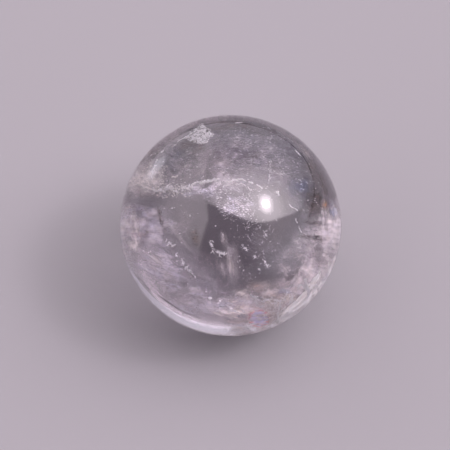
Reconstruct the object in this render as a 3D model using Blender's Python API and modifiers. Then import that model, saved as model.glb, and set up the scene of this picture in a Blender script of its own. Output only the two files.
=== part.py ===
"""A polished quartz sphere with a small flat spot ground on it to rest on.

Metres, +Z up. The origin is the middle of the flat spot, on the surface that the sphere stands on.
"""

import math

import bmesh
import bpy

# Driving dimensions
SPHERE_DIAMETER = 0.040
FLAT_SPOT_DIAMETER = 0.010
FLAT_EDGE_EASING = 0.0002

# Fineness of the ball's surface
FACETS_AROUND = 80
FACETS_TOP_TO_BOTTOM = 40
EASING_FACETS = 2

# Clear quartz with a faint grey lilac cast, finely polished
QUARTZ_COLOUR = (0.62, 0.56, 0.62, 1.0)
QUARTZ_ROUGHNESS = 0.02
QUARTZ_IOR = 1.55

SPHERE_RADIUS = SPHERE_DIAMETER / 2
FLAT_SPOT_RADIUS = FLAT_SPOT_DIAMETER / 2
CENTRE_HEIGHT = math.sqrt(SPHERE_RADIUS**2 - FLAT_SPOT_RADIUS**2)


def clear_scene():
    """Start from an empty scene."""
    for thing in list(bpy.data.objects):
        bpy.data.objects.remove(thing, do_unlink=True)


def polished_quartz():
    """See-through stone with a mirror polish."""
    material = bpy.data.materials.new("polished_quartz")
    material.use_nodes = True
    shader = material.node_tree.nodes["Principled BSDF"]
    shader.inputs["Base Color"].default_value = QUARTZ_COLOUR
    shader.inputs["Roughness"].default_value = QUARTZ_ROUGHNESS
    shader.inputs["Metallic"].default_value = 0.0
    shader.inputs["IOR"].default_value = QUARTZ_IOR
    shader.inputs["Transmission Weight"].default_value = 1.0
    return material


def grind_flat_spot(mesh):
    """Cut the ball off level at the foot, so that its centre stands at CENTRE_HEIGHT, and close the cut."""
    ball = bmesh.new()
    ball.from_mesh(mesh)
    everything = ball.verts[:] + ball.edges[:] + ball.faces[:]
    cut = bmesh.ops.bisect_plane(
        ball,
        geom=everything,
        plane_co=(0, 0, -CENTRE_HEIGHT),
        plane_no=(0, 0, -1),
        clear_outer=True,
    )
    rim = [piece for piece in cut["geom_cut"] if isinstance(piece, bmesh.types.BMEdge)]
    bmesh.ops.contextual_create(ball, geom=rim)
    bmesh.ops.recalc_face_normals(ball, faces=ball.faces[:])
    ball.to_mesh(mesh)
    ball.free()


def ease_flat_edge(sphere):
    """Take the sharpness off the rim of the flat spot, as its polish does."""
    weights = sphere.data.attributes.new("bevel_weight_edge", "FLOAT", "EDGE")
    for edge in sphere.data.edges:
        ends = [sphere.data.vertices[index].co.z for index in edge.vertices]
        on_rim = all(math.isclose(z, -CENTRE_HEIGHT, abs_tol=1e-6) for z in ends)
        weights.data[edge.index].value = 1.0 if on_rim else 0.0
    easing = sphere.modifiers.new("flat_edge_easing", "BEVEL")
    easing.limit_method = "WEIGHT"
    easing.width = FLAT_EDGE_EASING
    easing.segments = EASING_FACETS


def quartz_sphere(collection):
    """The whole stone: a ball, its flat spot and the eased rim round it."""
    bpy.ops.mesh.primitive_uv_sphere_add(
        segments=FACETS_AROUND,
        ring_count=FACETS_TOP_TO_BOTTOM,
        radius=SPHERE_RADIUS,
        location=(0, 0, CENTRE_HEIGHT),
    )
    sphere = bpy.context.object
    sphere.name = "quartz_sphere"
    sphere.data.name = "quartz_sphere"
    for owner in list(sphere.users_collection):
        owner.objects.unlink(sphere)
    collection.objects.link(sphere)
    grind_flat_spot(sphere.data)
    ease_flat_edge(sphere)
    sphere.data.shade_smooth()
    sphere.data.set_sharp_from_angle(angle=math.radians(12))
    sphere.data.materials.append(polished_quartz())
    return sphere


def main():
    clear_scene()
    collection = bpy.data.collections.new("Quartz sphere")
    bpy.context.scene.collection.children.link(collection)
    quartz_sphere(collection)


main()
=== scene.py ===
import math

import bpy
import numpy as np
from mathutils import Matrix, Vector, noise


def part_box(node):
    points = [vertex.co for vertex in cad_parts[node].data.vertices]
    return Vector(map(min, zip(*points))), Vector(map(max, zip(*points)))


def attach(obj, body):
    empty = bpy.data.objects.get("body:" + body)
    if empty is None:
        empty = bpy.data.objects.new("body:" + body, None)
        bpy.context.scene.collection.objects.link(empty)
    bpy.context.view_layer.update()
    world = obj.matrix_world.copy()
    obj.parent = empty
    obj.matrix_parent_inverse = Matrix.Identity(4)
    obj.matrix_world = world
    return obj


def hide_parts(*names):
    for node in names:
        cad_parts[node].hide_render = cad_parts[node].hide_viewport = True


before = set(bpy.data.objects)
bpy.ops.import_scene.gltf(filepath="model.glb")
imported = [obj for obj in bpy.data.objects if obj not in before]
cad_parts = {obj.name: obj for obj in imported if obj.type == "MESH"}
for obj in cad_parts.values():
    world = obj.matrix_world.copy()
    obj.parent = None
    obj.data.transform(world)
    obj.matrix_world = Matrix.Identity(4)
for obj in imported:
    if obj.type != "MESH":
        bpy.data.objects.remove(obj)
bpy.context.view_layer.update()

MM = 0.001

# The ball and the flat spot that it rests on, from the frame
LOW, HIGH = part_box("quartz_sphere")
BALL_RADIUS = (HIGH.x - LOW.x) / 2
BALL_CENTRE = Vector((0, 0, HIGH.z - BALL_RADIUS))
EASING_RADIUS = 0.8 * MM
EASING_FACETS = 4
ARC_FACETS = 200
FACETS_AROUND = 400
WELD = 0.001 * MM
QUARTZ_IOR = 1.55

# No flaw reaches the polish, and none lies right at the front or the back of the ball
UNBROKEN_SKIN = 0.25 * MM
SHALLOWEST = 0.015
DEEPEST = 0.97

# The seed of all random draws, the shape of a shard in its own width, how far apart the patterns of two
# sheets lie in mm, so that they differ, and the size of the patches over which a white drifts
SEED = 20
SHARD_SIDES = 5
SHARD_THICKNESS = 0.03
PATTERN_SHIFT = 30
COLOUR_DRIFT = 4 * MM

# How the photograph's frame sees the ball
FRAME_PIXELS = 450
BALL_CENTRE_PIXEL = (230.5, 225.5)
BALL_RADIUS_PIXELS = 110.8
CAMERA_ELEVATION = math.radians(57)
CAMERA_DISTANCE = 0.35
FILM_WIDTH = 36.0

TO_CAMERA = Vector((0, -math.cos(CAMERA_ELEVATION), math.sin(CAMERA_ELEVATION)))
PICTURE_RIGHT = Vector((1, 0, 0))
PICTURE_UP = TO_CAMERA.cross(PICTURE_RIGHT)
PIXELS_PER_SLOPE = BALL_RADIUS_PIXELS * math.sqrt((CAMERA_DISTANCE / BALL_RADIUS) ** 2 - 1)

FLOOR_RADIUS = 0.105
FLOOR_GAP = 0.02 * MM

# Where the room's light comes from. Each edge of a bright field is given by the way that it faces
WALL_EDGES = ((-0.238, 0.754, 0.613), (0.40, 0.86, 0.31), (-0.20, 0.18, 0.96))
SKIRTING_EDGES = ((0.150, 0.075, 0.986), (-0.165, 0.285, 0.944))
BEHIND = (0.35, 0.94, 0)
WINDOW_EDGES = ((-0.912, 0.011, -0.41), (-0.858, 0.49, -0.151))
CEILING_GLOW = (0.46, -0.22, 0.86)
FAR_WINDOW = (-0.72, 0.69, -0.03)
SIDE_LIGHT = (0.86, -0.42, 0.28)
LIT_FLOOR = (0.85, 0.5, 0)
LAMP = ((0.572, -0.065, 0.817), (0.58, -0.10, 0.81), (0.588, -0.135, 0.80))

# How bright the parts of the room are
WALL_LIGHT = 0.88
UPPER_WALL_LIGHT = 0.8
CEILING_SHEEN = 3.9
FAR_WINDOW_LIGHT = 2.2
WINDOW_LIGHT = 2.3
FLOOR_LIGHT = 0.42
LIT_FLOOR_LIGHT = 0.17
LAMP_TUBE = 10.0
LAMP_CORE = 30.0
LAMP_HALO = 3.4
SIDE_GLOW = 1.5
GLOOM = 0.05


def linear(hex_colour):
    """A colour written as sRGB hex, as linear red, green, blue and 1."""
    parts = [int(hex_colour[start:start + 2], 16) / 255 for start in (1, 3, 5)]
    return (*[c / 12.92 if c <= 0.04045 else ((c + 0.055) / 1.055) ** 2.4 for c in parts], 1.0)


def add_node(tree, kind, settings=None, inputs=None):
    """Add a node, with its settings and with its inputs as values or as the sockets that feed them."""
    node = tree.nodes.new(kind)
    for name, value in (settings or {}).items():
        setattr(node, name, value)
    for name, value in (inputs or {}).items():
        if isinstance(value, bpy.types.NodeSocket):
            tree.links.new(value, node.inputs[name])
        else:
            node.inputs[name].default_value = value
    return node


def new_material(name):
    """An empty material and its output node."""
    material = bpy.data.materials.new(name)
    material.use_nodes = True
    material.node_tree.nodes.clear()
    return material, add_node(material.node_tree, "ShaderNodeOutputMaterial")


# Camera, floor and light

def aim_camera():
    """Stand at the photograph's angle, so far back that the ball has the size that it has there."""
    slope = CAMERA_DISTANCE / PIXELS_PER_SLOPE
    right = (FRAME_PIXELS / 2 - BALL_CENTRE_PIXEL[0]) * slope
    up = (BALL_CENTRE_PIXEL[1] - FRAME_PIXELS / 2) * slope
    aim = BALL_CENTRE + PICTURE_RIGHT * right + PICTURE_UP * up
    place = BALL_CENTRE + TO_CAMERA * CAMERA_DISTANCE
    lens = bpy.data.cameras.new("camera")
    lens.sensor_width = FILM_WIDTH
    lens.lens = PIXELS_PER_SLOPE / FRAME_PIXELS * FILM_WIDTH
    lens.clip_start = 0.01
    lens.clip_end = 10
    camera = bpy.data.objects.new("camera", lens)
    camera.location = place
    camera.rotation_euler = (aim - place).to_track_quat("-Z", "Y").to_euler()
    bpy.context.scene.collection.objects.link(camera)
    bpy.context.scene.camera = camera


def matt_board():
    """A sheet of pale matt board, uncoated, so that it shows no gloss."""
    material, out = new_material("pale_matt_board")
    tree = material.node_tree
    shader = add_node(tree, "ShaderNodeBsdfPrincipled", inputs={
        "Base Color": linear("#78777a"),
        "Roughness": 0.9,
        "Specular IOR Level": 0.1,
    })
    tree.links.new(shader.outputs[0], out.inputs["Surface"])
    return material


def lay_floor():
    """A plain round board for the ball to stand on."""
    bpy.ops.object.select_all(action="DESELECT")
    bpy.ops.mesh.primitive_circle_add(
        vertices=128, radius=FLOOR_RADIUS, fill_type="NGON", location=(0, 0, -FLOOR_GAP),
    )
    floor = bpy.context.object
    floor.name = "floor"
    floor.data.materials.append(matt_board())


def facing(tree, way, towards):
    """How nearly a direction of the room points the same way as another, from -1 to 1."""
    return add_node(tree, "ShaderNodeVectorMath", {"operation": "DOT_PRODUCT"}, {
        0: way, 1: Vector(towards).normalized(),
    }).outputs["Value"]


def soft_step(tree, value, low, high):
    """0 below the low value and 1 above the high one, with a smooth rise between."""
    return add_node(tree, "ShaderNodeMapRange", {"interpolation_type": "SMOOTHSTEP"}, {
        "Value": value, "From Min": low, "From Max": high,
    }).outputs["Result"]


def glow(tree, way, towards, full, faded):
    """1 within the angle full of a direction, in degrees, falling to 0 at the angle faded."""
    low, high = math.cos(math.radians(faded)), math.cos(math.radians(full))
    return soft_step(tree, facing(tree, way, towards), low, high)


def work_out(tree, operation, first, *others, blend=0.0):
    """Numbers worked through one operation in a row. The blend is how softly a smooth minimum turns over."""
    for other in others:
        first = add_node(tree, "ShaderNodeMath", {"operation": operation}, {
            0: first, 1: other, 2: blend,
        }).outputs[0]
    return first


def hang_light():
    """Soft light from a bright wall and ceiling behind, a window at the left and a lamp over the right."""
    world = bpy.data.worlds.new("studio")
    world.use_nodes = True
    tree = world.node_tree
    tree.nodes.clear()
    way = add_node(tree, "ShaderNodeTexCoord").outputs["Generated"]
    height = facing(tree, way, (0, 0, 1))
    edges = [facing(tree, way, side) for side in WALL_EDGES]
    inside = work_out(tree, "SMOOTH_MIN", *edges, blend=0.28)
    low_edges = [facing(tree, way, side) for side in SKIRTING_EDGES]
    low_inside = work_out(tree, "SMOOTH_MIN", *low_edges, blend=0.015)
    behind = soft_step(tree, facing(tree, way, BEHIND), 0.25, 0.45)
    skirting = work_out(
        tree, "MULTIPLY",
        soft_step(tree, low_inside, -0.044, -0.038), behind, soft_step(tree, height, 0.3, 0.2),
    )
    wall = work_out(tree, "MAXIMUM", soft_step(tree, inside, -0.03, 0.02), skirting)
    sheen = work_out(tree, "MULTIPLY", glow(tree, way, CEILING_GLOW, 5, 62), CEILING_SHEEN)
    far_window = work_out(tree, "MULTIPLY", glow(tree, way, FAR_WINDOW, 3, 10), FAR_WINDOW_LIGHT)
    upward = work_out(
        tree, "MULTIPLY",
        soft_step(tree, height, 0.0, 0.42), soft_step(tree, height, 0.7, 0.5), behind, UPPER_WALL_LIGHT,
    )
    on_wall = work_out(tree, "ADD", sheen, far_window, upward, WALL_LIGHT)
    wall_light = work_out(tree, "MULTIPLY", wall, on_wall)
    gap = work_out(tree, "MULTIPLY", soft_step(tree, low_inside, -0.075, -0.068), behind)
    far_floor = work_out(
        tree, "MULTIPLY",
        soft_step(tree, inside, -0.035, -0.05), soft_step(tree, height, 0.3, 0.1),
        work_out(tree, "SUBTRACT", 1.0, gap),
        work_out(
            tree, "ADD",
            work_out(tree, "MULTIPLY", glow(tree, way, LIT_FLOOR, 20, 45), LIT_FLOOR_LIGHT), FLOOR_LIGHT,
        ),
    )
    beside = work_out(tree, "SMOOTH_MIN", *[facing(tree, way, side) for side in WINDOW_EDGES], blend=0.03)
    window = work_out(
        tree, "MULTIPLY", soft_step(tree, beside, -0.04, 0.04), soft_step(tree, height, 0.0, 0.7),
    )
    window_light = work_out(tree, "MULTIPLY", window, WINDOW_LIGHT)
    tube = work_out(tree, "MAXIMUM", *[glow(tree, way, part, 0, 9) for part in LAMP])
    lamp = work_out(
        tree, "ADD",
        work_out(tree, "MULTIPLY", tube, LAMP_TUBE),
        work_out(tree, "MULTIPLY", glow(tree, way, LAMP[1], 2, 5), LAMP_CORE),
        work_out(tree, "MULTIPLY", glow(tree, way, LAMP[1], 0, 23), LAMP_HALO),
        work_out(tree, "MULTIPLY", glow(tree, way, SIDE_LIGHT, 5, 42), SIDE_GLOW),
    )
    room = work_out(tree, "MAXIMUM", wall_light, window_light, far_floor)
    total = work_out(tree, "ADD", room, lamp, GLOOM)
    tint = add_node(tree, "ShaderNodeMix", {"data_type": "RGBA"}, {
        "Factor": soft_step(tree, height, 0.1, 0.6), "A": linear("#f6f1ff"), "B": linear("#fff2fa"),
    })
    shine = add_node(tree, "ShaderNodeBackground", inputs={
        "Color": tint.outputs["Result"], "Strength": total,
    })
    add_node(tree, "ShaderNodeOutputWorld", inputs={"Surface": shine.outputs[0]})
    bpy.context.scene.world = world


# The stone's surface

def polished_quartz():
    """Clear quartz ground and polished with cerium oxide: glassy, with a faint smoky lilac body colour."""
    material, out = new_material("polished_quartz")
    tree = material.node_tree
    shader = add_node(tree, "ShaderNodeBsdfPrincipled", inputs={
        "Base Color": linear("#fefdfe"),
        "Roughness": 0.0,
        "IOR": QUARTZ_IOR,
        "Transmission Weight": 1.0,
    })
    body = add_node(tree, "ShaderNodeVolumeAbsorption", inputs={
        "Color": linear("#b7aab7"),
        "Density": 22.0,
    })
    tree.links.new(shader.outputs[0], out.inputs["Surface"])
    tree.links.new(body.outputs[0], out.inputs["Volume"])
    return material


def polished_ball():
    """The stone's own surface: a turned ball with its flat spot, whose rim is eased by the polish."""
    bpy.ops.object.select_all(action="DESELECT")
    bpy.ops.mesh.primitive_circle_add(
        vertices=2 * ARC_FACETS, radius=BALL_RADIUS, location=BALL_CENTRE, rotation=(math.pi / 2, 0, 0),
    )
    ball = bpy.context.object
    ball.name = "polished_ball"
    bpy.ops.object.transform_apply(location=True, rotation=True, scale=True)
    inner_radius = BALL_RADIUS - EASING_RADIUS
    easing_height = BALL_CENTRE.z - EASING_RADIUS
    easing_centre = Vector((math.sqrt(inner_radius**2 - easing_height**2), 0, EASING_RADIUS))
    outward = (easing_centre - BALL_CENTRE).normalized()
    start = BALL_CENTRE + outward * BALL_RADIUS
    turn = math.asin(outward.x)
    bpy.ops.object.mode_set(mode="EDIT")
    bpy.ops.mesh.select_all(action="SELECT")
    bpy.ops.mesh.bisect(plane_co=(0, 0, 0), plane_no=(-1, 0, 0), clear_outer=True, threshold=WELD)
    bpy.ops.mesh.select_all(action="SELECT")
    bpy.ops.mesh.bisect(plane_co=start, plane_no=(0, 0, -1), clear_outer=True, threshold=WELD)
    bpy.ops.object.mode_set(mode="OBJECT")
    lowest = min(ball.data.vertices, key=lambda vertex: vertex.co.z)
    for vertex in ball.data.vertices:
        vertex.select = vertex.index == lowest.index
    stops = [
        easing_centre + Vector((math.sin(angle), 0, -math.cos(angle))) * EASING_RADIUS
        for angle in (turn * (1 - step / EASING_FACETS) for step in range(1, EASING_FACETS + 1))
    ]
    here = lowest.co.copy()
    bpy.ops.object.mode_set(mode="EDIT")
    bpy.ops.mesh.select_mode(type="VERT")
    for stop in (*stops, Vector((0, 0, 0))):
        bpy.ops.mesh.extrude_region_move(TRANSFORM_OT_translate={"value": stop - here})
        here = stop
    bpy.ops.mesh.select_all(action="SELECT")
    bpy.ops.mesh.spin(steps=FACETS_AROUND, angle=2 * math.pi, center=(0, 0, 0), axis=(0, 0, 1))
    bpy.ops.mesh.select_all(action="SELECT")
    bpy.ops.mesh.remove_doubles(threshold=WELD)
    bpy.ops.mesh.normals_make_consistent(inside=False)
    bpy.ops.object.mode_set(mode="OBJECT")
    bpy.ops.object.shade_smooth_by_angle(angle=math.radians(2.5))
    ball.data.materials.append(polished_quartz())
    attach(ball, "root")
    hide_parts("quartz_sphere")


# Where the camera sees a point inside the stone

def bend(ray, normal):
    """A ray's direction inside the stone, after it has come in through the surface."""
    cosine = -ray.dot(normal)
    return ray / QUARTZ_IOR + normal * (cosine / QUARTZ_IOR - math.sqrt(1 - (1 - cosine**2) / QUARTZ_IOR**2))


def line_of_sight(x, y):
    """Where the camera's ray through a pixel comes into the ball, seen from its centre, and the ray."""
    eye = TO_CAMERA * CAMERA_DISTANCE
    right = PICTURE_RIGHT * ((x - BALL_CENTRE_PIXEL[0]) / PIXELS_PER_SLOPE)
    up = PICTURE_UP * ((BALL_CENTRE_PIXEL[1] - y) / PIXELS_PER_SLOPE)
    ray = (right + up - TO_CAMERA).normalized()
    nearest = -eye.dot(ray)
    half_chord = math.sqrt(max(BALL_RADIUS**2 - (eye.length_squared - nearest**2), 0))
    return eye + ray * (nearest - half_chord), ray


def within_outline(x, y):
    """The pixel itself or, where it lies outside the ball's outline, the nearest one just within it."""
    away = Vector((x, y)) - Vector(BALL_CENTRE_PIXEL)
    away.length = min(away.length, BALL_RADIUS_PIXELS - 0.5)
    return away + Vector(BALL_CENTRE_PIXEL)


def seen(x, y, depth):
    """The point inside the ball that shows at a pixel, at a share of the way from its front to its back."""
    entry, ray = line_of_sight(x, y)
    normal = entry / BALL_RADIUS
    inside = bend(ray, normal)
    return BALL_CENTRE + entry - inside * (2 * BALL_RADIUS * inside.dot(normal) * depth)


def glinting(x, y):
    """The way that a crack seen at a pixel faces when it throws the most light at the camera."""
    entry, ray = line_of_sight(x, y)
    normal = entry / BALL_RADIUS
    return -(bend(ray, normal) + bend(-Vector(CEILING_GLOW).normalized(), normal)).normalized()


# Shards and hairs inside the stone

def grain_shape(sides, thickness):
    """One small shard, as the vertices and triangles of a closed flat splinter about one unit across."""
    bpy.ops.object.select_all(action="DESELECT")
    bpy.ops.mesh.primitive_cone_add(vertices=sides, radius1=0.5, radius2=0.0, depth=thickness)
    shard = bpy.context.object
    bpy.ops.object.mode_set(mode="EDIT")
    bpy.ops.mesh.select_all(action="SELECT")
    bpy.ops.transform.resize(value=(1.0, 0.7, 1.0))
    bpy.ops.mesh.quads_convert_to_tris()
    bpy.ops.object.mode_set(mode="OBJECT")
    points = np.array([vertex.co for vertex in shard.data.vertices])
    triangles = np.array([face.vertices for face in shard.data.polygons])
    bpy.data.objects.remove(shard, do_unlink=True)
    return points, triangles


def shard_turns(count, dice, roll, stray):
    """Rotation matrices that roll shards about their length by about one angle, and let them stray from it by
    about another."""
    angle = dice.normal(size=count) * roll
    zero, one = np.zeros(count), np.ones(count)
    rolled = np.stack([
        np.stack([one, zero, zero], 1),
        np.stack([zero, np.cos(angle), -np.sin(angle)], 1),
        np.stack([zero, np.sin(angle), np.cos(angle)], 1),
    ], 1)
    axis = dice.normal(size=(count, 3))
    x, y, z = (axis / np.linalg.norm(axis, axis=1)[:, None]).T
    angle = dice.normal(size=count) * stray
    c, s = np.cos(angle), np.sin(angle)
    t = 1 - c
    turned = np.stack([
        np.stack([t * x * x + c, t * x * y - s * z, t * x * z + s * y], 1),
        np.stack([t * x * y + s * z, t * y * y + c, t * y * z - s * x], 1),
        np.stack([t * x * z - s * y, t * y * z + s * x, t * z * z + c], 1),
    ], 1)
    return turned @ rolled


def picture_way(right, down):
    """The direction in the stone that runs so in the picture."""
    return (PICTURE_RIGHT * right - PICTURE_UP * down).normalized()


def patchy(places, size, bare, seed, way, stretch):
    """The places that stay when a natural patchiness takes the rest away. Its patches have a size in mm and
    are stretched one way; bare is how much it takes."""
    drawn = places[:, :3] / (size * MM)
    drawn = drawn - np.outer(drawn @ np.array(way) * (1 - 1 / stretch), np.array(way))
    drawn = drawn + np.array((3.7, 1.3, 2.1)) * seed
    kept = [noise.fractal(Vector(place), 0.6, 2.1, 4) > bare for place in drawn]
    return places[np.array(kept, bool)]


def within_stone(places):
    """Those places that lie under the ball's skin and above its flat spot."""
    away = np.linalg.norm(places[:, :3] - np.array(BALL_CENTRE), axis=1)
    return places[(away < BALL_RADIUS - UNBROKEN_SKIN) & (places[:, 2] > UNBROKEN_SKIN)]


def laid(places, ways):
    """The places that lie in the stone, each with the way that its shard lies there."""
    return within_stone(np.hstack([places, np.broadcast_to(np.array(ways), places.shape)]))


def along(points, steps=24):
    """A smooth line through points."""
    points = [points[0], *points, points[-1]]
    line = []
    for a, b, c, d in zip(points, points[1:], points[2:], points[3:]):
        for step in range(steps):
            t = step / steps
            line.append(0.5 * (
                2 * b + (c - a) * t + (2 * a - 5 * b + 4 * c - d) * t**2 + (3 * b - a - 3 * c + d) * t**3
            ))
    return np.array(line + [points[-1]])


def crinkled_line(dice, count, path, depth, spread, sway, gaps):
    """Places along a broken crinkled line that shows at pixels. The spread and sway are in mm, and gaps is
    how much of the line is missing, from -1 for none."""
    line = along([np.array(seen(x, y, depth)) for x, y in path], 60)
    seed = dice.uniform(0, 50)
    sways = [
        noise.noise_vector(Vector(place) / (1.1 * MM) + Vector((seed, 0, 0))) * 0.7
        + noise.noise_vector(Vector(place) / (0.35 * MM) + Vector((0, seed, 0))) * 0.3
        for place in line
    ]
    kept = [noise.noise(Vector(place) / (0.8 * MM) + Vector((0, 0, seed))) > gaps for place in line]
    line = line + np.array(sways) * sway * 2 * MM
    picked = dice.choice(np.flatnonzero(kept), count)
    return laid(line[picked] + dice.normal(size=(count, 3)) * spread * MM, np.gradient(line, axis=0)[picked])


def strewn(dice, count, start, end, depth, spread=0.07):
    """Places close to a short straight line between two pixels, where each shard lies its own way."""
    share = dice.uniform(0, 1, (count, 1))
    spots = np.array(start) * (1 - share) + np.array(end) * share
    places = np.array([seen(x, y, depth) for x, y in spots]) + dice.normal(size=(count, 3)) * spread * MM
    return laid(places, dice.normal(size=(count, 3)))


def scattered(dice, count, corners, thick, patch, bare=0.0, stretch=2.0, ragged=0.2):
    """Places scattered in patches over a sheet whose four corners show at pixels and depths. Its thickness
    and the size of the patches are in mm."""
    seed = dice.uniform(0, 20)
    a, b, c, d = (np.array(corner) for corner in corners)
    u, v = dice.uniform(0, 1, (2, count, 1))
    edge = np.minimum(np.minimum(u, 1 - u), np.minimum(v, 1 - v))[:, 0]
    kept = edge > ragged * dice.uniform(0, 1, count) ** 1.5
    u, v = u[kept], v[kept]
    spots = a * (1 - u) * (1 - v) + b * u * (1 - v) + c * u * v + d * (1 - u) * v
    places = np.array([seen(*spot) for spot in spots]) + dice.normal(size=(len(spots), 3)) * thick * MM
    sideways = picture_way(1, -0.1)
    return patchy(laid(places, sideways), patch, bare, seed, sideways, stretch)


def hairs(dice, roots, way, length, grains, stray, curl):
    """Places along short curved hairs that start at the roots and run about one way; length is in mm."""
    here = roots[:, :3]
    heading = np.array(way) + dice.normal(size=here.shape) * stray
    pace = length * dice.uniform(0.3, 1.0, (len(roots), 1)) / grains * MM
    grown = []
    for _ in range(grains):
        heading = heading + dice.normal(size=here.shape) * curl
        heading /= np.linalg.norm(heading, axis=1)[:, None]
        here = here + heading * pace
        grown.append(laid(here, heading))
    return np.concatenate(grown)


def join_shards(name, shape, places, smallest, largest, dice, material, roll, stray, long):
    """One mesh of a small shape set down at every place, sized in mm. The shards face the way that glints,
    lie along the way given with their place, and are each turned a little from there."""
    points, triangles = shape
    count = len(places)
    face = np.array(glinting(*GLINT_PIXELS[name]))
    side = places[:, 3:] - np.outer(places[:, 3:] @ face, face)
    side /= np.linalg.norm(side, axis=1)[:, None]
    facing_there = np.stack([side, np.cross(face, side), np.broadcast_to(face, side.shape)], axis=2)
    sizes = smallest * (largest / smallest) ** dice.uniform(0, 1, count) ** 2 * MM
    points = points * np.array((long, 1.0, 1.0))
    corners = np.einsum("nij,pj->npi", facing_there @ shard_turns(count, dice, roll, stray), points)
    corners = corners * sizes[:, None, None] + places[:, None, :3]
    faces = triangles[None] + (np.arange(count) * len(points))[:, None, None]
    mesh = bpy.data.meshes.new(name)
    mesh.vertices.add(count * len(points))
    mesh.vertices.foreach_set("co", corners.astype(np.float32).ravel())
    mesh.loops.add(faces.size)
    mesh.loops.foreach_set("vertex_index", faces.astype(np.int32).ravel())
    mesh.polygons.add(faces.size // 3)
    mesh.polygons.foreach_set("loop_start", np.arange(0, faces.size, 3, dtype=np.int32))
    mesh.update(calc_edges=True)
    mesh.materials.append(material)
    piece = bpy.data.objects.new(name, mesh)
    bpy.context.scene.collection.objects.link(piece)
    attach(piece, "root")


def drifting_colour(name, first, second, roughness):
    """Crushed quartz full of fluid: milky and opaque, as its many tiny faces scatter all light. Its white
    drifts between two tones over a few millimetres."""
    material, out = new_material(name)
    tree = material.node_tree
    where = add_node(tree, "ShaderNodeTexCoord")
    drift = add_node(tree, "ShaderNodeTexNoise", inputs={
        "Vector": where.outputs["Object"], "Scale": 1 / COLOUR_DRIFT, "Detail": 2.0,
    })
    tone = add_node(tree, "ShaderNodeMix", {"data_type": "RGBA"}, {
        "Factor": drift.outputs["Fac"], "A": linear(first), "B": linear(second),
    })
    shader = add_node(tree, "ShaderNodeBsdfPrincipled", inputs={
        "Base Color": tone.outputs["Result"], "Roughness": roughness,
    })
    tree.links.new(shader.outputs[0], out.inputs["Surface"])
    return material


# Thin sheets of tiny inclusions, and of painted shade

# What the sheets' point attribute is called
NEARNESS = "nearness_to_edge"


def four_corners(*corners):
    """Goes across and down between four points, each given by its pixel and its depth in the stone."""
    a, b, c, d = (Vector(corner) for corner in corners)
    return lambda u, v: a * (1 - u) * (1 - v) + b * u * (1 - v) + c * u * v + d * (1 - u) * v


def between_lines(upper, lower, upper_depth, lower_depth):
    """Goes along two lines drawn through pixels, and across from one to the other."""
    upper, lower = (
        along([np.array((x, y, depth)) for x, y in line])
        for line, depth in ((upper, upper_depth), (lower, lower_depth))
    )

    def spot(u, v):
        a, b = (Vector(line[round(u * (len(line) - 1))]) for line in (upper, lower))
        return a.lerp(b, v)
    return spot


def round_the_rim(start, end, outer, inner, depth):
    """Goes round the ball's rim in the picture, in degrees clockwise from its right, and inward in pixels."""
    def spot(u, v):
        angle = math.radians(start + (end - start) * u)
        reach = outer + (inner - outer) * v
        x, y = BALL_CENTRE_PIXEL
        return Vector((x + reach * math.cos(angle), y + reach * math.sin(angle), depth))
    return spot


def thin_sheet(spot, seed, bow=0.04, wrinkle=0.03, squares=24, cut_below=False):
    """A curved sheet in the stone. Its UV map is in millimetres, and its point attribute says how near the
    edge each point is; a sheet that is cut off below ends there without fading."""
    bpy.ops.object.select_all(action="DESELECT")
    bpy.ops.mesh.primitive_grid_add(x_subdivisions=squares, y_subdivisions=squares, size=2)
    sheet = bpy.context.object
    mesh = sheet.data
    nearness = mesh.attributes.new(NEARNESS, "FLOAT", "POINT")
    width = (seen(*spot(1, 0.5)) - seen(*spot(0, 0.5))).length / MM
    height = (seen(*spot(0.5, 1)) - seen(*spot(0.5, 0))).length / MM
    for vertex in mesh.vertices:
        across, up = vertex.co.x, vertex.co.y
        u, v = (1 + across) / 2, (1 - up) / 2
        x, y, depth = spot(u, v)
        x, y = within_outline(x, y)
        depth += bow * (2 * u * (1 - u) + 2 * v * (1 - v))
        depth += wrinkle * noise.fractal(Vector((u * 3, v * 3, seed)), 0.8, 2.0, 4)
        nearness.data[vertex.index].value = math.hypot(across, max(up, 0) if cut_below else up)
        vertex.co = seen(x, y, min(max(depth, SHALLOWEST), DEEPEST))
        vertex.co.z = max(vertex.co.z, UNBROKEN_SKIN)
    for corner in mesh.uv_layers.active.uv:
        across, down = corner.vector.x, 1 - corner.vector.y
        corner.vector = (across * width + seed * PATTERN_SHIFT, down * height + seed * PATTERN_SHIFT)
    bpy.ops.object.shade_smooth()
    return sheet


def veil(name, material):
    """One piece made of all the sheets that go by its name, in one material."""
    shape = SHEET_SHAPES.get(name, {})
    sheets = [thin_sheet(spot, seed + len(name), **shape) for seed, spot in enumerate(SHEETS[name])]
    bpy.ops.object.select_all(action="DESELECT")
    for sheet in sheets:
        sheet.select_set(True)
    bpy.context.view_layer.objects.active = sheets[0]
    if len(sheets) > 1:
        bpy.ops.object.join()
    piece = bpy.context.object
    piece.name = name
    piece.data.materials.append(material)
    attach(piece, "root")


def unevenness(tree, length, width, detail=3.0, turn=0.0, seed=0.0):
    """A natural unevenness from 0 to 1 over a sheet, in spots so many mm long and wide."""
    where = add_node(tree, "ShaderNodeTexCoord")
    laid = add_node(tree, "ShaderNodeMapping", {"vector_type": "TEXTURE"}, {
        "Vector": where.outputs["UV"],
        "Rotation": (0.0, 0.0, math.radians(turn)),
        "Scale": (length, width, 1.0),
    })
    moved = add_node(tree, "ShaderNodeVectorMath", {"operation": "ADD"}, {
        0: laid.outputs[0], 1: (seed * 17.3, seed * 9.1, 0.0),
    })
    return add_node(tree, "ShaderNodeTexNoise", {"noise_dimensions": "2D"}, {
        "Vector": moved.outputs[0], "Scale": 1.0, "Detail": detail, "Roughness": 0.6,
    }).outputs["Fac"]


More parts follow.
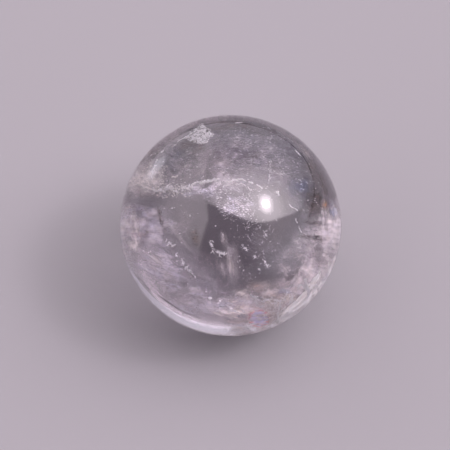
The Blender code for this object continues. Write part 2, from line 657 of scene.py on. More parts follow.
def fading_edge(tree, full, raggedness=0.7):
    """1 over the middle of a sheet, falling raggedly to 0 at its edge."""
    nearness = add_node(tree, "ShaderNodeAttribute", {"attribute_name": NEARNESS}).outputs["Fac"]
    ragged = work_out(tree, "MULTIPLY", unevenness(tree, 2.6, 1.6, 4.0, seed=5), raggedness)
    reach = work_out(tree, "ADD", nearness, ragged)
    return soft_step(tree, reach, 0.95 + raggedness / 2, full + raggedness / 2)


def crinkled_threads(tree, length, width, thin, turn, seed):
    """Fine crooked lines that come and go over a sheet."""
    middle = work_out(tree, "SUBTRACT", unevenness(tree, length, width, 4.0, turn, seed), 0.5)
    line = soft_step(tree, work_out(tree, "ABSOLUTE", middle, 0.0), thin, thin * 0.3)
    patches = soft_step(tree, unevenness(tree, 2.2, 1.4, 3.0, turn, seed + 2), 0.44, 0.60)
    return work_out(tree, "MULTIPLY", line, patches)


def inclusions(name, tones, haze, cloud, flecks=0.0, fleck=(0.6, 0.16), share=0.60, threads=0.0,
               weave=1.0, bands=0.0, band=(7.0, 0.7), turn=0.0, full=0.2, fineness=0.65, raggedness=0.7):
    """A healed crack full of tiny fluid inclusions: see-through between them, and dull and cloudy where they
    crowd; in dark tones, a sheet of painted shade. The haze, flecks, threads and bands in it are given by how
    dense they are, and the sizes of a cloud, a fleck and a band in mm. A fleck shows where its noise is above
    share. Real inclusions are too fine to show, so the flecks are as coarse as they need to be."""
    material, out = new_material(name + "_inclusions")
    tree = material.node_tree
    clouds = soft_step(tree, unevenness(tree, cloud * 1.5, cloud, 4.0, turn), 0.30, 0.66)
    speckle = soft_step(tree, unevenness(tree, *fleck, 3.0, turn, 2), 0.36, 0.64)
    fine = work_out(tree, "MULTIPLY", speckle, fineness * 1.5)
    cover = work_out(tree, "MULTIPLY", clouds, work_out(tree, "ADD", fine, 1.0 - fineness), haze)
    if bands:
        stripes = soft_step(tree, unevenness(tree, *band, 1.5, turn, 9), 0.40, 0.66)
        cover = work_out(tree, "ADD", cover, work_out(tree, "MULTIPLY", stripes, bands))
    if flecks:
        spots = soft_step(tree, unevenness(tree, *fleck, 2.0, turn, 4), share, share + 0.07)
        patches = soft_step(tree, unevenness(tree, 2.0, 1.1, 3.0, turn, 7), 0.40, 0.58)
        cover = work_out(tree, "ADD", cover, work_out(tree, "MULTIPLY", spots, patches, flecks))
    if threads:
        for length, width, thin, seed in ((2.6, 1.2, 0.026, 8), (1.3, 0.7, 0.036, 13)):
            lines = crinkled_threads(tree, length * weave, width * weave, thin, turn, seed)
            cover = work_out(tree, "ADD", cover, work_out(tree, "MULTIPLY", lines, threads))
    cover = work_out(tree, "MULTIPLY", cover, fading_edge(tree, full, raggedness))
    cover = work_out(tree, "MINIMUM", cover, 1.0)
    tone = add_node(tree, "ShaderNodeMix", {"data_type": "RGBA"}, {
        "Factor": soft_step(tree, unevenness(tree, 2.5, 1.5, 2.0, turn, 3), 0.3, 0.7),
        "A": linear(tones[0]), "B": linear(tones[1]),
    })
    shader = add_node(tree, "ShaderNodeBsdfPrincipled", inputs={
        "Base Color": tone.outputs["Result"], "Roughness": 0.8, "Specular IOR Level": 0.0, "Alpha": cover,
    })
    tree.links.new(shader.outputs[0], out.inputs["Surface"])
    return material


def rainbow_film(name, stops, round_middle, strength):
    """An open crack so thin that light interferes in it, which shows as soft rainbow bands round its middle
    or along it."""
    material, out = new_material(name)
    tree = material.node_tree
    if round_middle:
        nearness = add_node(tree, "ShaderNodeAttribute", {"attribute_name": NEARNESS}).outputs["Fac"]
        drift = work_out(tree, "SUBTRACT", unevenness(tree, 0.9, 0.7, 2.0), 0.5)
        through = work_out(tree, "ADD", nearness, work_out(tree, "MULTIPLY", drift, 0.7))
    else:
        through = soft_step(tree, unevenness(tree, 6.0, 0.9, 1.0), 0.25, 0.75)
    ramp = add_node(tree, "ShaderNodeValToRGB", inputs={"Fac": through})
    elements = ramp.color_ramp.elements
    while len(elements) < len(stops):
        elements.new(0.5)
    for element, (spot, colour) in zip(elements, stops):
        element.position = spot
        element.color = linear(colour)
    uneven = soft_step(tree, unevenness(tree, 4.0, 1.2, 2.0, seed=2), 0.25, 0.60)
    shader = add_node(tree, "ShaderNodeBsdfPrincipled", inputs={
        "Base Color": ramp.outputs["Color"], "Roughness": 0.6, "Specular IOR Level": 0.0,
        "Alpha": work_out(tree, "MULTIPLY", fading_edge(tree, 0.3, 0.25), uneven, strength),
    })
    tree.links.new(shader.outputs[0], out.inputs["Surface"])
    return material


# The tones that veils of inclusions and sheets of painted shade have here, each drifting between two
LILAC = ("#f6f0f6", "#e6e3f2")
CREAM = ("#faf3ec", "#f2ebec")
BLUISH = ("#e8eaf6", "#f2ecf2")
ROSY = ("#f7efee", "#eee8ee")
WHITE = ("#ffffff", "#fbf7f4")
# Painted shade: the grey of the sheets that darken the ball's upper part, where dark surroundings show
# through
SHADE_GREY = ("#4c4452", "#363a4c")
NIGHT_BLUE = ("#3f5688", "#4a5478")
# Painted shade: the brown of the sheets that darken the rim and patches of the ball
SHADE_BROWN = ("#5e4e48", "#3e343a")
# Painted shade: the near black of the line along the inner edge of the bright crescent
SHADE_BLACK = ("#2c2630", "#3a3038")
ORANGE = ("#d89a5c", "#c98850")
AMBER = ("#c0a08c", "#b49888")
AZURE = ("#4f7fc0", "#6a92c8")

# The line along which the bright crescent at the lower left begins, in pixels
CRESCENT_EDGE = (
    (118.5, 236), (123, 252), (129.5, 268), (138, 279), (151, 291.6), (164, 300.4), (178.5, 310),
    (191.5, 315.7), (206.8, 321), (222, 323.3), (238, 326),
)

# Where the sheets of each piece show: pixels, and the depth in the stone as a share of the way through
SHEETS = {
    "upper_veil": (
        four_corners((198, 114, 0.28), (304, 118, 0.18), (328, 210, 0.20), (194, 210, 0.30)),
        four_corners((180, 116, 0.52), (310, 116, 0.46), (326, 200, 0.46), (180, 200, 0.56)),
    ),
    "fleck_cluster": (four_corners((194, 184, 0.20), (262, 178, 0.20), (268, 228, 0.24), (222, 224, 0.24)),),
    "upper_left_veil": (
        four_corners((128, 128, 0.30), (228, 112, 0.25), (228, 200, 0.32), (124, 200, 0.36)),
    ),
    "smooth_cloud": (four_corners((204, 146, 0.24), (246, 148, 0.24), (258, 196, 0.26), (198, 192, 0.26)),),
    "edge_haze": (
        between_lines(
            ((150, 186), (180, 182), (206, 174), (232, 172), (262, 180)),
            ((150, 202), (182, 204), (208, 204), (232, 194), (262, 196)), 0.18, 0.18,
        ),
    ),
    "cream_veil": (
        four_corners((114, 156, 0.24), (164, 150, 0.22), (186, 202, 0.22), (112, 206, 0.24)),
        four_corners((118, 168, 0.12), (160, 160, 0.12), (176, 202, 0.14), (114, 200, 0.14)),
    ),
    # Painted shade: dark sheets that darken the upper part of the ball
    "smoky_patches": (
        four_corners((192, 118, 0.12), (304, 122, 0.10), (326, 200, 0.10), (196, 186, 0.12)),
        four_corners((138, 136, 0.14), (214, 128, 0.14), (206, 190, 0.16), (146, 186, 0.16)),
        four_corners((150, 138, 0.10), (214, 130, 0.10), (198, 180, 0.11), (158, 172, 0.11)),
        four_corners((268, 122, 0.10), (312, 130, 0.10), (330, 178, 0.10), (276, 166, 0.10)),
        four_corners((274, 160, 0.10), (312, 160, 0.10), (322, 208, 0.10), (280, 210, 0.10)),
        four_corners((204, 124, 0.10), (238, 120, 0.10), (236, 162, 0.10), (206, 164, 0.10)),
    ),
    "blue_gleam": (four_corners((278, 166, 0.2), (316, 168, 0.2), (320, 212, 0.2), (280, 208, 0.2)),),
    "left_mist": (four_corners((108, 186, 0.22), (178, 192, 0.22), (184, 262, 0.26), (108, 264, 0.26)),),
    "lower_left_mist": (
        between_lines(((96, 204), (150, 222), (182, 240), (214, 262), (244, 274)), CRESCENT_EDGE, 0.26, 0.20),
    ),
    "bottom_mist": (four_corners((172, 286, 0.30), (276, 288, 0.28), (290, 334, 0.24), (190, 326, 0.26)),),
    "inner_left_veil": (
        four_corners((146, 190, 0.28), (206, 190, 0.28), (202, 262, 0.32), (146, 268, 0.32)),
    ),
    "crackle": (four_corners((210, 216, 0.26), (300, 212, 0.24), (300, 288, 0.28), (212, 286, 0.30)),),
    "right_mist": (
        four_corners((264, 240, 0.34), (344, 216, 0.30), (344, 312, 0.34), (250, 304, 0.36)),
        four_corners((302, 216, 0.24), (350, 212, 0.22), (350, 258, 0.24), (300, 252, 0.26)),
    ),
    "soft_haze": (four_corners((284, 210, 0.3), (350, 204, 0.3), (350, 296, 0.3), (276, 286, 0.3)),),
    "lower_haze": (
        four_corners((208, 280, 0.3), (338, 266, 0.3), (336, 346, 0.3), (196, 366, 0.3)),
        between_lines(
            ((318, 256), (300, 274), (282, 288), (262, 298), (238, 300), (214, 298), (186, 290)),
            ((332, 268), (318, 296), (300, 314), (280, 325), (256, 329), (236, 324), (216, 321), (186, 312)),
            0.3, 0.26,
        ),
    ),
    "rim_mist": (round_the_rim(-20, 70, 78, 110.3, 0.14), round_the_rim(158, 194, 88, 110.3, 0.14)),
    "white_rim": (round_the_rim(14, 66, 97, 110.3, 0.1),),
    "lower_right_mist": (
        four_corners((240, 292, 0.30), (312, 272, 0.26), (344, 330, 0.26), (224, 360, 0.30)),
        four_corners((252, 296, 0.16), (326, 266, 0.14), (338, 340, 0.16), (240, 362, 0.18)),
    ),
    "pale_bands": (
        between_lines(((217, 240), (221, 262), (227, 292)), ((244, 240), (243, 262), (241, 292)), 0.24, 0.24),
        between_lines(((209, 248), (214, 264), (220, 280)), ((222, 248), (227, 264), (230, 279)), 0.24, 0.24),
        between_lines(((215, 228), (218, 242), (219, 258)), ((228, 228), (230, 242), (231, 258)), 0.24, 0.24),
        between_lines(
            ((157, 213), (170, 232), (182, 247), (193, 258)),
            ((163, 210), (176, 228), (188, 242), (198, 252)), 0.24, 0.24,
        ),
        between_lines(((124, 248), (146, 263), (170, 280)), ((130, 236), (158, 250), (182, 266)), 0.24, 0.24),
    ),
    # Painted shade: brown sheets that darken the rim, patches and streaks of the ball
    "smoky_stains": (
        four_corners((290, 178, 0.18), (338, 176, 0.20), (336, 226, 0.20), (292, 222, 0.18)),
        four_corners((174, 136, 0.10), (202, 134, 0.10), (202, 154, 0.12), (172, 156, 0.12)),
        between_lines(((126, 168), (142, 150), (164, 136)), ((134, 176), (150, 160), (174, 146)), 0.12, 0.12),
        four_corners((184, 220, 0.26), (204, 220, 0.26), (202, 256, 0.26), (190, 250, 0.26)),
        between_lines(
            ((151, 192), (156, 212), (160, 228), (170, 246)),
            ((156, 192), (161, 212), (166, 228), (174, 240)), 0.26, 0.26,
        ),
        four_corners((302, 186, 0.16), (332, 184, 0.16), (332, 218, 0.16), (302, 216, 0.16)),
        round_the_rim(-134, -46, 108, 92, 0.16),
        round_the_rim(-60, -8, 108, 92, 0.16),
        four_corners((188, 138, 0.10), (210, 138, 0.10), (210, 154, 0.12), (186, 154, 0.12)),
        between_lines(
            ((292, 232), (306, 233), (322, 234), (338, 236)),
            ((292, 240), (306, 240), (322, 242), (338, 244)), 0.12, 0.12,
        ),
        between_lines(((300, 219), (314, 219), (334, 220)), ((300, 226), (314, 226), (334, 228)), 0.12, 0.12),
    ),
    # Painted shade: a dark line along the inner edge of the bright crescent
    "dark_seam": (
        between_lines(
            [(x + 1.4, y - 2.0) for x, y in CRESCENT_EDGE],
            [(x - 0.6, y + 0.8) for x, y in CRESCENT_EDGE], 0.1, 0.1,
        ),
    ),
    "rim_streaks": (round_the_rim(-172, -84, 109, 93, 0.08), round_the_rim(-66, -30, 109, 100, 0.08)),
    "rainbow_ring": (four_corners((244, 305, 0.13), (275, 305, 0.13), (275, 331, 0.13), (244, 331, 0.13)),),
    "pastel_cracks": (
        between_lines(((116, 204), (136, 204), (156, 206)), ((116, 214), (136, 213), (156, 212)), 0.18, 0.18),
        between_lines(((116, 217), (134, 217), (152, 218)), ((116, 227), (134, 226), (152, 224)), 0.18, 0.18),
        between_lines(((116, 227), (138, 228), (160, 230)), ((116, 240), (138, 239), (160, 236)), 0.18, 0.18),
        between_lines(((272, 288), (290, 284), (310, 282)), ((272, 296), (290, 296), (310, 304)), 0.12, 0.12),
        between_lines(((216, 316), (232, 318), (250, 320)), ((218, 324), (234, 328), (252, 330)), 0.2, 0.2),
    ),
    "orange_crack": (four_corners((320, 199, 0.12), (331, 198, 0.12), (331, 210, 0.12), (320, 211, 0.12)),),
    "amber_gleam": (four_corners((242, 276, 0.2), (270, 274, 0.2), (271, 296, 0.2), (243, 298, 0.2)),),
    "azure_crack": (
        four_corners((326, 197, 0.12), (338, 196, 0.12), (338, 208, 0.12), (326, 208, 0.12)),
        four_corners((328, 205, 0.12), (339, 204, 0.12), (339, 217, 0.12), (328, 217, 0.12)),
    ),
}

# How the sheets of a piece are shaped, where they aren't gently bowed and wrinkled like the rest
FLAT = {"bow": 0.0, "wrinkle": 0.01}
CUT_BELOW = {"cut_below": True, "squares": 40}
SHEET_SHAPES = {
    "lower_left_mist": CUT_BELOW,
    "rim_mist": CUT_BELOW,
    "white_rim": CUT_BELOW,
    "lower_haze": {"squares": 40},
    "pale_bands": FLAT | {"squares": 16},
    # Painted shade: the brown sheets that darken the rim and patches
    "smoky_stains": FLAT | {"squares": 20},
    # Painted shade: the dark line along the crescent's inner edge
    "dark_seam": {"bow": 0.0, "wrinkle": 0.0, "squares": 60},
    "rim_streaks": FLAT | {"squares": 48},
    "rainbow_ring": FLAT | {"squares": 16},
    "pastel_cracks": FLAT | {"squares": 16},
    "orange_crack": FLAT | {"squares": 12},
    "amber_gleam": FLAT | {"squares": 12},
    "azure_crack": FLAT | {"squares": 12},
}

# What each veil of inclusions and each sheet of painted shade is like, in the terms of the function
# inclusions
VEIL_LOOKS = {
    "upper_veil": dict(
        tones=LILAC, haze=0.06, cloud=1.4, flecks=0.6, fleck=(0.5, 0.11), share=0.58, threads=0.3, turn=4,
    ),
    "fleck_cluster": dict(
        tones=LILAC, haze=0.35, cloud=1.4, flecks=1.0, fleck=(0.34, 0.1), share=0.54, threads=0.3, turn=12,
    ),
    "upper_left_veil": dict(
        tones=ROSY, haze=0.04, cloud=2.2, flecks=1.0, fleck=(0.3, 0.08), share=0.59, threads=0.4, turn=-8,
    ),
    "smooth_cloud": dict(
        tones=ROSY, haze=0.95, cloud=3.2, fleck=(1.0, 0.5), turn=-10, full=-0.1, fineness=0.3,
    ),
    "edge_haze": dict(
        tones=LILAC, haze=0.8, cloud=1.2, flecks=1.0, fleck=(0.3, 0.09), share=0.52, turn=-6, full=-0.2,
    ),
    "cream_veil": dict(
        tones=CREAM, haze=0.38, cloud=1.4, flecks=1.2, fleck=(0.26, 0.08), share=0.56, threads=0.6, turn=-10,
    ),
    # Painted shade: dark sheets that darken the upper part of the ball
    "smoky_patches": dict(tones=SHADE_GREY, haze=0.68, cloud=1.1, fleck=(0.8, 0.2), turn=10),
    "blue_gleam": dict(tones=NIGHT_BLUE, haze=0.8, cloud=2.0, fleck=(1.0, 0.4), full=-0.2, fineness=0.3),
    "left_mist": dict(
        tones=LILAC, haze=0.55, cloud=3.0, fleck=(3.0, 0.6), bands=0.3, band=(6.0, 1.4), full=0.3,
        fineness=0.3,
    ),
    "lower_left_mist": dict(
        tones=LILAC, haze=0.42, cloud=3.5, flecks=0.1, fleck=(0.5, 0.2), share=0.6, bands=0.1, turn=-20,
        full=0.3, fineness=0.25,
    ),
    "bottom_mist": dict(
        tones=BLUISH, haze=0.6, cloud=3.0, flecks=0.3, fleck=(0.5, 0.16), share=0.59, threads=0.2,
        turn=-10, fineness=0.4,
    ),
    "inner_left_veil": dict(
        tones=ROSY, haze=0.15, cloud=2.0, flecks=0.4, fleck=(0.5, 0.12), share=0.60, turn=-40,
    ),
    "crackle": dict(
        tones=LILAC, haze=0.0, cloud=1.6, flecks=0.25, fleck=(0.3, 0.08), share=0.62, threads=0.25,
        weave=0.45, turn=25,
    ),
    "right_mist": dict(
        tones=ROSY, haze=0.46, cloud=1.6, flecks=0.2, fleck=(0.5, 0.14), share=0.58, turn=28, fineness=0.45,
    ),
    "soft_haze": dict(tones=ROSY, haze=0.56, cloud=4.0, fleck=(2.4, 0.7), turn=20, full=0.1, fineness=0.3),
    "lower_haze": dict(
        tones=CREAM, haze=1.75, cloud=4.0, flecks=0.4, fleck=(0.5, 0.12), share=0.57, turn=20, full=0.3,
        fineness=0.3,
    ),
    "rim_mist": dict(
        tones=ROSY, haze=0.88, cloud=6.0, fleck=(3.0, 0.6), bands=0.2, band=(9.0, 0.7), turn=90, full=0.4,
        fineness=0.25,
    ),
    "white_rim": dict(
        tones=WHITE, haze=2.4, cloud=8.0, fleck=(2.0, 0.8), turn=70, full=0.6, fineness=0.1, raggedness=0.5,
    ),
    "lower_right_mist": dict(
        tones=CREAM, haze=1.05, cloud=1.6, flecks=0.9, fleck=(0.4, 0.1), share=0.57, threads=0.6, turn=30,
    ),
    "pale_bands": dict(
        tones=ROSY, haze=0.62, cloud=2.4, fleck=(2.4, 0.2), bands=0.25, band=(6.0, 0.5), full=-0.3,
        fineness=0.35, raggedness=0.5,
    ),
    # Painted shade: brown sheets that darken the rim, patches and streaks of the ball
    "smoky_stains": dict(tones=SHADE_BROWN, haze=0.75, cloud=1.4, bands=0.5, band=(3.0, 0.35), turn=-8, full=0.1),
    # Painted shade: a dark line along the inner edge of the bright crescent
    "dark_seam": dict(
        tones=SHADE_BLACK, haze=1.6, cloud=3.0, fleck=(1.4, 0.5), full=-0.4, fineness=0.3, raggedness=0.3,
    ),
    "rim_streaks": dict(
        tones=CREAM, haze=0.08, cloud=2.0, flecks=0.7, fleck=(0.8, 0.1), share=0.6, bands=0.1,
        band=(3.0, 0.3), full=0.0,
    ),
}

# The same for the cracks filled so finely that they gleam in one colour
GLEAM_LOOKS = {
    "orange_crack": dict(tones=ORANGE, haze=1.2, cloud=3.0, full=-0.5, fineness=0.2, raggedness=0.3),
    "amber_gleam": dict(tones=AMBER, haze=0.5, cloud=3.0, full=-0.4, fineness=0.2),
    "azure_crack": dict(tones=AZURE, haze=1.1, cloud=3.0, full=-0.5, fineness=0.2, raggedness=0.3),
}

# The colours of thin films, each with its place along the run of them
RING_COLOURS = (
    (0.05, "#efe8f2"), (0.3, "#cfc6ea"), (0.5, "#e4dcee"), (0.66, "#ea9aa6"), (0.78, "#f0b4a0"),
    (0.95, "#b4d2dc"),
)
PASTEL_COLOURS = (
    (0.15, "#d8bcae"), (0.32, "#b4a8d8"), (0.5, "#efe8ea"), (0.66, "#cdb294"), (0.85, "#8fa6cc"),
)


def grow_veils(looks):
    """The veils, mists, hazes and streaks of inclusions, and the dark sheets of painted shade, each from its
    look.
    """
    for name, look in looks.items():
        veil(name, inclusions(name, **look))


def open_rainbows():
    """The thin cracks that show rainbow colours: a ring of them, and strips of paler ones."""
    veil("rainbow_ring", rainbow_film("rainbow_film_in_rings", RING_COLOURS, True, 1.2))
    veil("pastel_cracks", rainbow_film("rainbow_film_in_strips", PASTEL_COLOURS, False, 0.36))


# Where the shards lie. A patch of them gives how many there are, the pixels and depths of its corners, how
# thick it is, how big its bare spots are and how much is bare, and then how stretched and ragged it is. A
# line gives how many, its pixels, its depth, its spread, its sway and how much of it is missing. All in mm.
# Real inclusions are a few thousandths of a millimetre across; these are as coarse as they need to be to show

UPPER_PATCHES = (
    (2600, ((206, 124, 0.28), (296, 126, 0.18), (316, 206, 0.20), (200, 208, 0.30)), 0.5, 1.2, 0.12),
    (2000, ((208, 190, 0.2), (258, 186, 0.2), (262, 224, 0.24), (218, 218, 0.24)), 0.4, 1.0, 0.05),
    (1200, ((268, 148, 0.2), (302, 156, 0.2), (304, 190, 0.2), (266, 186, 0.2)), 0.3, 0.8, 0.08),
    (900, ((232, 124, 0.2), (262, 126, 0.2), (262, 152, 0.2), (234, 150, 0.2)), 0.3, 0.8, 0.05),
    (1600, ((132, 150, 0.3), (206, 140, 0.3), (206, 200, 0.3), (126, 196, 0.3)), 0.4, 1.0, 0.1),
    (700, ((290, 146, 0.14), (312, 150, 0.14), (330, 214, 0.14), (300, 216, 0.14)), 0.3, 0.8, 0.08),
)
UPPER_LINE = (260, ((269, 128), (270.7, 158), (269, 182)), 0.2, 0.1, 0.2, -0.1)
CREAM_PATCHES = (
    (420, ((130, 184, 0.14), (150, 160, 0.14), (170, 168, 0.14), (160, 196, 0.14)), 0.3, 0.9),
    (260, ((152, 186, 0.14), (186, 184, 0.14), (190, 196, 0.14), (154, 200, 0.14)), 0.3, 0.9),
    (160, ((124, 176, 0.10), (140, 160, 0.10), (150, 176, 0.10), (130, 194, 0.10)), 0.3, 0.9),
)
CREAM_LINES = (
    (900, ((126, 181), (133, 182.5), (141, 185.5), (151, 189), (158, 191)), 0.12, 0.07, 0.25, -0.25),
    (160, ((160, 186), (168, 180), (176, 176), (186, 178)), 0.12, 0.05, 0.4, 0.0),
)
EDGE_START = (600, ((154, 190), (164, 191), (172, 190), (184, 190)), 0.12, 0.07, 0.5, -0.1)
EDGE_START_ROOTS = (70, ((152, 189), (164, 191), (174, 189), (184, 190)), 0.12, 0.15, 0.5, -0.2)
EDGE_BRANCHES = (
    (260, ((158, 158), (157, 161), (154.5, 166), (152, 172), (150.5, 179)), 0.1, 0.05, 0.4, -0.1),
    (120, ((150, 155), (157.5, 153), (168, 149), (176, 145)), 0.1, 0.08, 0.4, 0.1),
    (600, ((183, 188), (196, 184.6), (206, 181.5), (217, 180.8)), 0.14, 0.07, 0.4, -0.1),
)
EDGE_MIDDLE_ROOTS = (60, ((184, 188), (196, 185), (206, 182), (220, 181)), 0.14, 0.12, 0.3, -0.2)
EDGE_END = (
    (700, ((200, 183), (214, 181), (226, 180), (238, 179.5)), 0.14, 0.06, 0.25, -0.15),
    (600, ((232, 179.5), (240, 179.5), (248, 181.5), (255, 184.6), (262, 188)), 0.14, 0.05, 0.12, -0.2),
    (160, ((222, 186), (234, 183), (246, 186), (256, 192)), 0.14, 0.05, 0.3, 0.05),
)
FEATHER_PATCH = (
    5200, ((180, 139, 0.03), (201, 122, 0.025), (215, 134, 0.03), (203, 146, 0.03)),
    0.04, 0.5, -0.04, 1.5, 0.8,
)
FEATHER_LINES = (
    (120, ((188, 136), (182, 139), (177, 142)), 0.03, 0.05, 0.15, -0.3),
    (300, ((186.5, 137), (194, 132), (202, 125.5), (204, 130), (205, 133)), 0.03, 0.05, 0.3, -0.3),
    (260, ((190, 140), (198, 138), (206, 141), (211, 136), (206, 132)), 0.03, 0.06, 0.4, -0.3),
)
FEATHER_ROOTS = (160, ((182, 140, 0.03), (202, 125, 0.025), (212, 134, 0.03), (203, 144, 0.03)), 0.05, 0.5)

# Bursts of sparks: how many, and the pixels of both ends
SPARK_DEPTH = 0.2
SPARK_BURSTS = (
    (14, (167, 242), (174, 247)), (5, (175, 253), (177, 256)), (5, (182, 261), (184, 265)),
    (12, (185, 266), (190, 271)), (6, (192, 273), (195, 276)), (5, (253, 255), (256, 258)),
    (7, (242, 244), (247, 251)), (9, (262, 259), (269, 267)), (7, (263, 232), (267, 236)),
    (4, (136, 246), (152, 254)),
)
WISP = (24, ((209.5, 241), (212.6, 247), (217, 252), (222, 254.5), (226, 254)), 0.2, 0.06, 0.3, -1)
WISP_STRETCHES = (
    (14, (209.5, 241), (213, 248), 0.2, 0.08), (14, (213, 248), (218, 253), 0.2, 0.1),
    (36, (216, 252.5), (226, 254), 0.2, 0.1),
)
SPARK_PATCHES = (
    (70, ((176, 254, 0.2), (194, 258, 0.2), (196, 278, 0.2), (178, 274, 0.2)), 0.3, 0.7),
    (60, ((236, 222, 0.24), (276, 222, 0.24), (276, 242, 0.26), (238, 242, 0.26)), 0.4, 0.7, 0.05),
    (70, ((205, 215, 0.28), (300, 225, 0.28), (300, 290, 0.32), (215, 290, 0.32)), 0.8, 1.2, 0.1),
    (60, ((150, 200, 0.28), (205, 200, 0.28), (200, 240, 0.3), (160, 240, 0.3)), 0.5, 1.2, 0.1),
)
SPARK_HAIR_PATCHES = (
    (130, ((236, 220, 0.24), (278, 220, 0.24), (278, 240, 0.26), (238, 240, 0.26)), 0.3, 0.8, 0.05),
    (110, ((232, 236, 0.26), (276, 236, 0.26), (272, 280, 0.28), (236, 276, 0.28)), 0.5, 1.0, 0.05),
    (90, ((284, 226, 0.2), (332, 214, 0.2), (332, 262, 0.2), (290, 262, 0.2)), 0.4, 1.2),
)

# The brightest glints: the pixels of both ends of each, and its depth
GLINTS = (
    ((166.5, 241.5), (173.5, 246.5), 0.2), ((167, 246), (170, 242), 0.2),
    ((186, 267.5), (189.5, 271), 0.2), ((175, 254.5), (176.5, 255.5), 0.2),
    ((182.5, 260.5), (183.5, 265), 0.2), ((216, 251.5), (225, 254.5), 0.2), ((210, 242), (213, 248), 0.2),
    ((242, 245), (247, 250.5), 0.24), ((253, 255.5), (255, 257.5), 0.24), ((264, 260), (268, 266), 0.24),
    ((258, 268.5), (260, 270), 0.24), ((265, 233), (266, 235), 0.24), ((276.5, 190.5), (279, 195), 0.1),
    ((235.5, 122.8), (241.5, 122.4), 0.06), ((295, 150), (299.5, 154.5), 0.06),
    ((126, 181.5), (135, 183.5), 0.12), ((156.5, 160), (154, 167), 0.1), ((304.5, 280), (309, 296), 0.07),
    ((303, 286), (308, 284), 0.07), ((274, 324), (278, 313), 0.08), ((253, 295.5), (276, 300.5), 0.08),
    ((192, 133), (203, 126), 0.03), ((198, 140), (206, 140.5), 0.03), ((203, 127), (205, 134), 0.03),
    ((120, 223), (121.5, 224), 0.1), ((189, 215), (190, 216.5), 0.25),
)
THREAD_LINES = (
    (100, ((289, 203), (293.7, 207.6), (297.5, 210.6)), 0.1, 0.03, 0.2, -0.3),
    (120, ((296, 217.5), (298.3, 226), (302, 232)), 0.1, 0.03, 0.25, -0.3),
    (700, ((252, 295), (258, 300), (270, 301), (280, 300)), 0.09, 0.08, 0.4, -0.1),
    (1500, ((304.5, 279), (306, 284), (308, 290), (309, 297)), 0.08, 0.12, 0.2, -1),
    (500, ((298, 286), (303, 285), (306, 289)), 0.08, 0.12, 0.15, -1),
    (300, ((292, 295), (291, 299), (288, 305)), 0.09, 0.06, 0.3, -0.5),
    (500, ((279, 309), (278, 316), (272, 324)), 0.09, 0.07, 0.3, -0.4),
    (400, ((254, 297), (258, 304), (264, 307)), 0.09, 0.06, 0.35, -0.3),
    (500, ((272, 302), (284, 308), (294, 312), (302, 308)), 0.09, 0.07, 0.35, -0.2),
    (500, ((312, 284), (318, 288), (320, 296), (314, 304)), 0.08, 0.12, 0.3, -0.3),
    (400, ((282, 318), (294, 314), (304, 306)), 0.09, 0.1, 0.3, -0.3),
    (60, ((276, 191), (279, 195)), 0.08, 0.05, 0.05, -1),
    (80, ((295, 150), (297, 152), (300, 155)), 0.06, 0.05, 0.05, -1),
    (160, ((235.5, 122.6), (241.5, 122.4)), 0.06, 0.08, 0.05, -1),
)
THREAD_ROOTS = (420, ((262, 296, 0.1), (302, 290, 0.1), (300, 322, 0.1), (266, 330, 0.1)), 0.2, 0.8)

# The middle of each crowd of shards, in pixels. They face the way that glints there
GLINT_PIXELS = {
    "upper_flecks": (240, 165),
    "cream_hairs": (152, 178),
    "veil_edge": (205, 186),
    "crushed_feather": (198, 134),
    "sparkling_cracks": (215, 250),
    "spark_hairs": (256, 245),
    "bright_glints": (205, 245),
    "white_threads": (288, 298),
}


# The way that most hairs run: across the picture and a little upward
SIDEWAYS = picture_way(1, -0.12)


def in_patches(dice, patches):
    """Places scattered over several patches."""
    return np.concatenate([scattered(dice, *patch) for patch in patches])


def on_lines(dice, lines):
    """Places along several crinkled lines."""
    return np.concatenate([crinkled_line(dice, *line) for line in lines])


def upper_flecks(dice, flake, white):
    """The flecks of the upper veils, thinned out to every other one."""
    places = np.concatenate([in_patches(dice, UPPER_PATCHES), crinkled_line(dice, *UPPER_LINE)])
    join_shards("upper_flecks", flake, places[::2], 0.05, 0.16, dice, white, roll=0.2, stray=0.15, long=2.4)


def cream_hairs(dice, flake, cream):
    """The cream tangle at the left edge: short hairs and two crinkled lines."""
    roots = in_patches(dice, CREAM_PATCHES)
    places = np.concatenate([
        hairs(dice, roots, SIDEWAYS, 0.8, 8, stray=1.2, curl=0.7), on_lines(dice, CREAM_LINES),
    ])
    join_shards("cream_hairs", flake, places, 0.04, 0.1, dice, cream, roll=0.1, stray=0.12, long=2.6)


def veil_edge(dice, flake, white):
    """The crinkled white edge in which the upper veil ends, with hairs growing from it."""
    places = np.concatenate([
        crinkled_line(dice, *EDGE_START),
        hairs(dice, crinkled_line(dice, *EDGE_START_ROOTS), SIDEWAYS, 0.8, 7, stray=1.2, curl=0.6),
        on_lines(dice, EDGE_BRANCHES),
        hairs(dice, crinkled_line(dice, *EDGE_MIDDLE_ROOTS), SIDEWAYS, 0.7, 7, stray=1.0, curl=0.6),
        on_lines(dice, EDGE_END),
    ])
    join_shards("veil_edge", flake, places, 0.06, 0.15, dice, white, roll=0.08, stray=0.08, long=2.0)


def crushed_feather(dice, flake, white):
    """The bright crushed patch near the top, close under the polish."""
    places = np.concatenate([
        scattered(dice, *FEATHER_PATCH),
        on_lines(dice, FEATHER_LINES),
        hairs(dice, scattered(dice, *FEATHER_ROOTS), picture_way(1, -0.6), 0.9, 7, stray=0.8, curl=0.4),
    ])
    join_shards("crushed_feather", flake, places, 0.08, 0.24, dice, white, roll=0.06, stray=0.06, long=1.6)


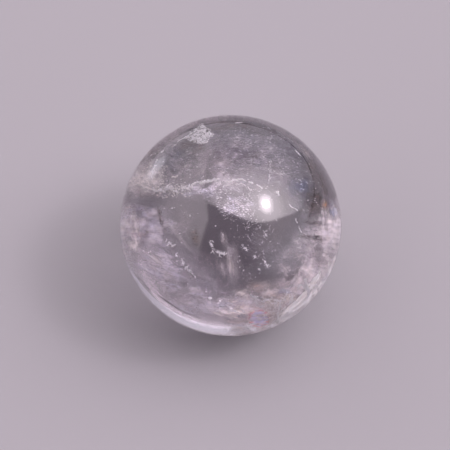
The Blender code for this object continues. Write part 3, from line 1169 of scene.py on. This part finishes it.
def sparkling_cracks(dice, flake, white):
    """The little bursts, the curved wisp and the loose sparks over the dark middle."""
    wisp = crinkled_line(dice, *WISP)
    places = np.concatenate([
        *[
            hairs(dice, strewn(dice, *burst, SPARK_DEPTH, 0.12), SIDEWAYS, 0.5, 3, stray=2.0, curl=0.4)
            for burst in SPARK_BURSTS
        ],
        *[strewn(dice, *stretch) for stretch in WISP_STRETCHES],
        hairs(dice, wisp, picture_way(0.6, 1), 0.7, 6, stray=1.0, curl=0.4),
        in_patches(dice, SPARK_PATCHES),
    ])
    join_shards("sparkling_cracks", flake, places, 0.07, 0.16, dice, white, roll=0.06, stray=0.06, long=2.0)


def spark_hairs(dice, flake, white):
    """The thin hairs between the sparks."""
    roots = in_patches(dice, SPARK_HAIR_PATCHES)
    places = hairs(dice, roots, picture_way(1, 0.4), 0.8, 6, stray=1.6, curl=0.5)
    join_shards("spark_hairs", flake, places, 0.035, 0.07, dice, white, roll=0.2, stray=0.2, long=2.6)


def bright_glints(dice, flake, white):
    """The brightest glints: two shards for each, and one more to a pixel of its length."""
    places = np.concatenate([
        strewn(dice, 2 + int(math.dist(start, end)), start, end, depth) for start, end, depth in GLINTS
    ])
    join_shards("bright_glints", flake, places, 0.14, 0.26, dice, white, roll=0.03, stray=0.03, long=2.0)


def white_threads(dice, flake, white):
    """The white feather and the net of threads at the lower right, and a few short cracks elsewhere."""
    roots = scattered(dice, *THREAD_ROOTS)
    places = np.concatenate([
        on_lines(dice, THREAD_LINES), hairs(dice, roots, picture_way(0.6, -0.6), 1.0, 8, stray=1.0, curl=0.5),
    ])
    join_shards("white_threads", flake, places, 0.07, 0.18, dice, white, roll=0.08, stray=0.08, long=2.0)


def scatter_flecks():
    """The solid little cracks, hairs and flecks that sparkle, from one row of random draws."""
    dice = np.random.default_rng(SEED)
    noise.seed_set(SEED)
    flake = grain_shape(SHARD_SIDES, SHARD_THICKNESS)
    white = drifting_colour("white_fluid_inclusions", "#ffffff", "#f8f6fb", 0.5)
    cream = drifting_colour("cream_healed_crack", "#fbf6ee", "#f5f0f0", 0.5)
    upper_flecks(dice, flake, white)
    cream_hairs(dice, flake, cream)
    veil_edge(dice, flake, white)
    crushed_feather(dice, flake, white)
    sparkling_cracks(dice, flake, white)
    spark_hairs(dice, flake, white)
    bright_glints(dice, flake, white)
    white_threads(dice, flake, white)


# The round bubbles: the pixel and depth of each, and its width in mm
BUBBLES = (
    (210.3, 298.2, 0.2, 0.62), (220.5, 301, 0.2, 0.3), (231.4, 308.6, 0.2, 0.45), (206.4, 291.7, 0.2, 0.2),
    (188, 284, 0.3, 0.14), (241.6, 324.2, 0.3, 0.24), (172, 208.3, 0.25, 0.2), (215.6, 226, 0.25, 0.2),
    (240, 267, 0.28, 0.16), (259, 269.5, 0.28, 0.16), (120.9, 223.6, 0.1, 0.2),
)


def blow_bubbles():
    """The few round fluid bubbles big enough to see, each a little flattened."""
    white = drifting_colour("milky_fluid_bubble", "#ffffff", "#f4f2fa", 0.4)
    for number, (x, y, depth, width) in enumerate(BUBBLES, 1):
        bpy.ops.object.select_all(action="DESELECT")
        bpy.ops.mesh.primitive_ico_sphere_add(
            subdivisions=3, radius=width / 2 * MM, location=seen(x, y, depth),
        )
        bubble = bpy.context.object
        bubble.name = "bubble_%02d" % number
        bpy.ops.object.mode_set(mode="EDIT")
        bpy.ops.mesh.select_all(action="SELECT")
        bpy.ops.transform.resize(value=(1.0, 0.8, 0.7))
        bpy.ops.object.mode_set(mode="OBJECT")
        bpy.ops.object.transform_apply(location=True, rotation=True, scale=True)
        bpy.ops.object.shade_smooth()
        bubble.data.materials.append(white)
        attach(bubble, "root")


aim_camera()
lay_floor()
hang_light()
polished_ball()
grow_veils(VEIL_LOOKS)
open_rainbows()
grow_veils(GLEAM_LOOKS)
scatter_flecks()
blow_bubbles()

scene = bpy.context.scene
scene.view_settings.view_transform = "Standard"
scene.cycles.use_denoising = True
scene.cycles.max_bounces = 16
scene.cycles.transmission_bounces = 16
scene.cycles.transparent_max_bounces = 24
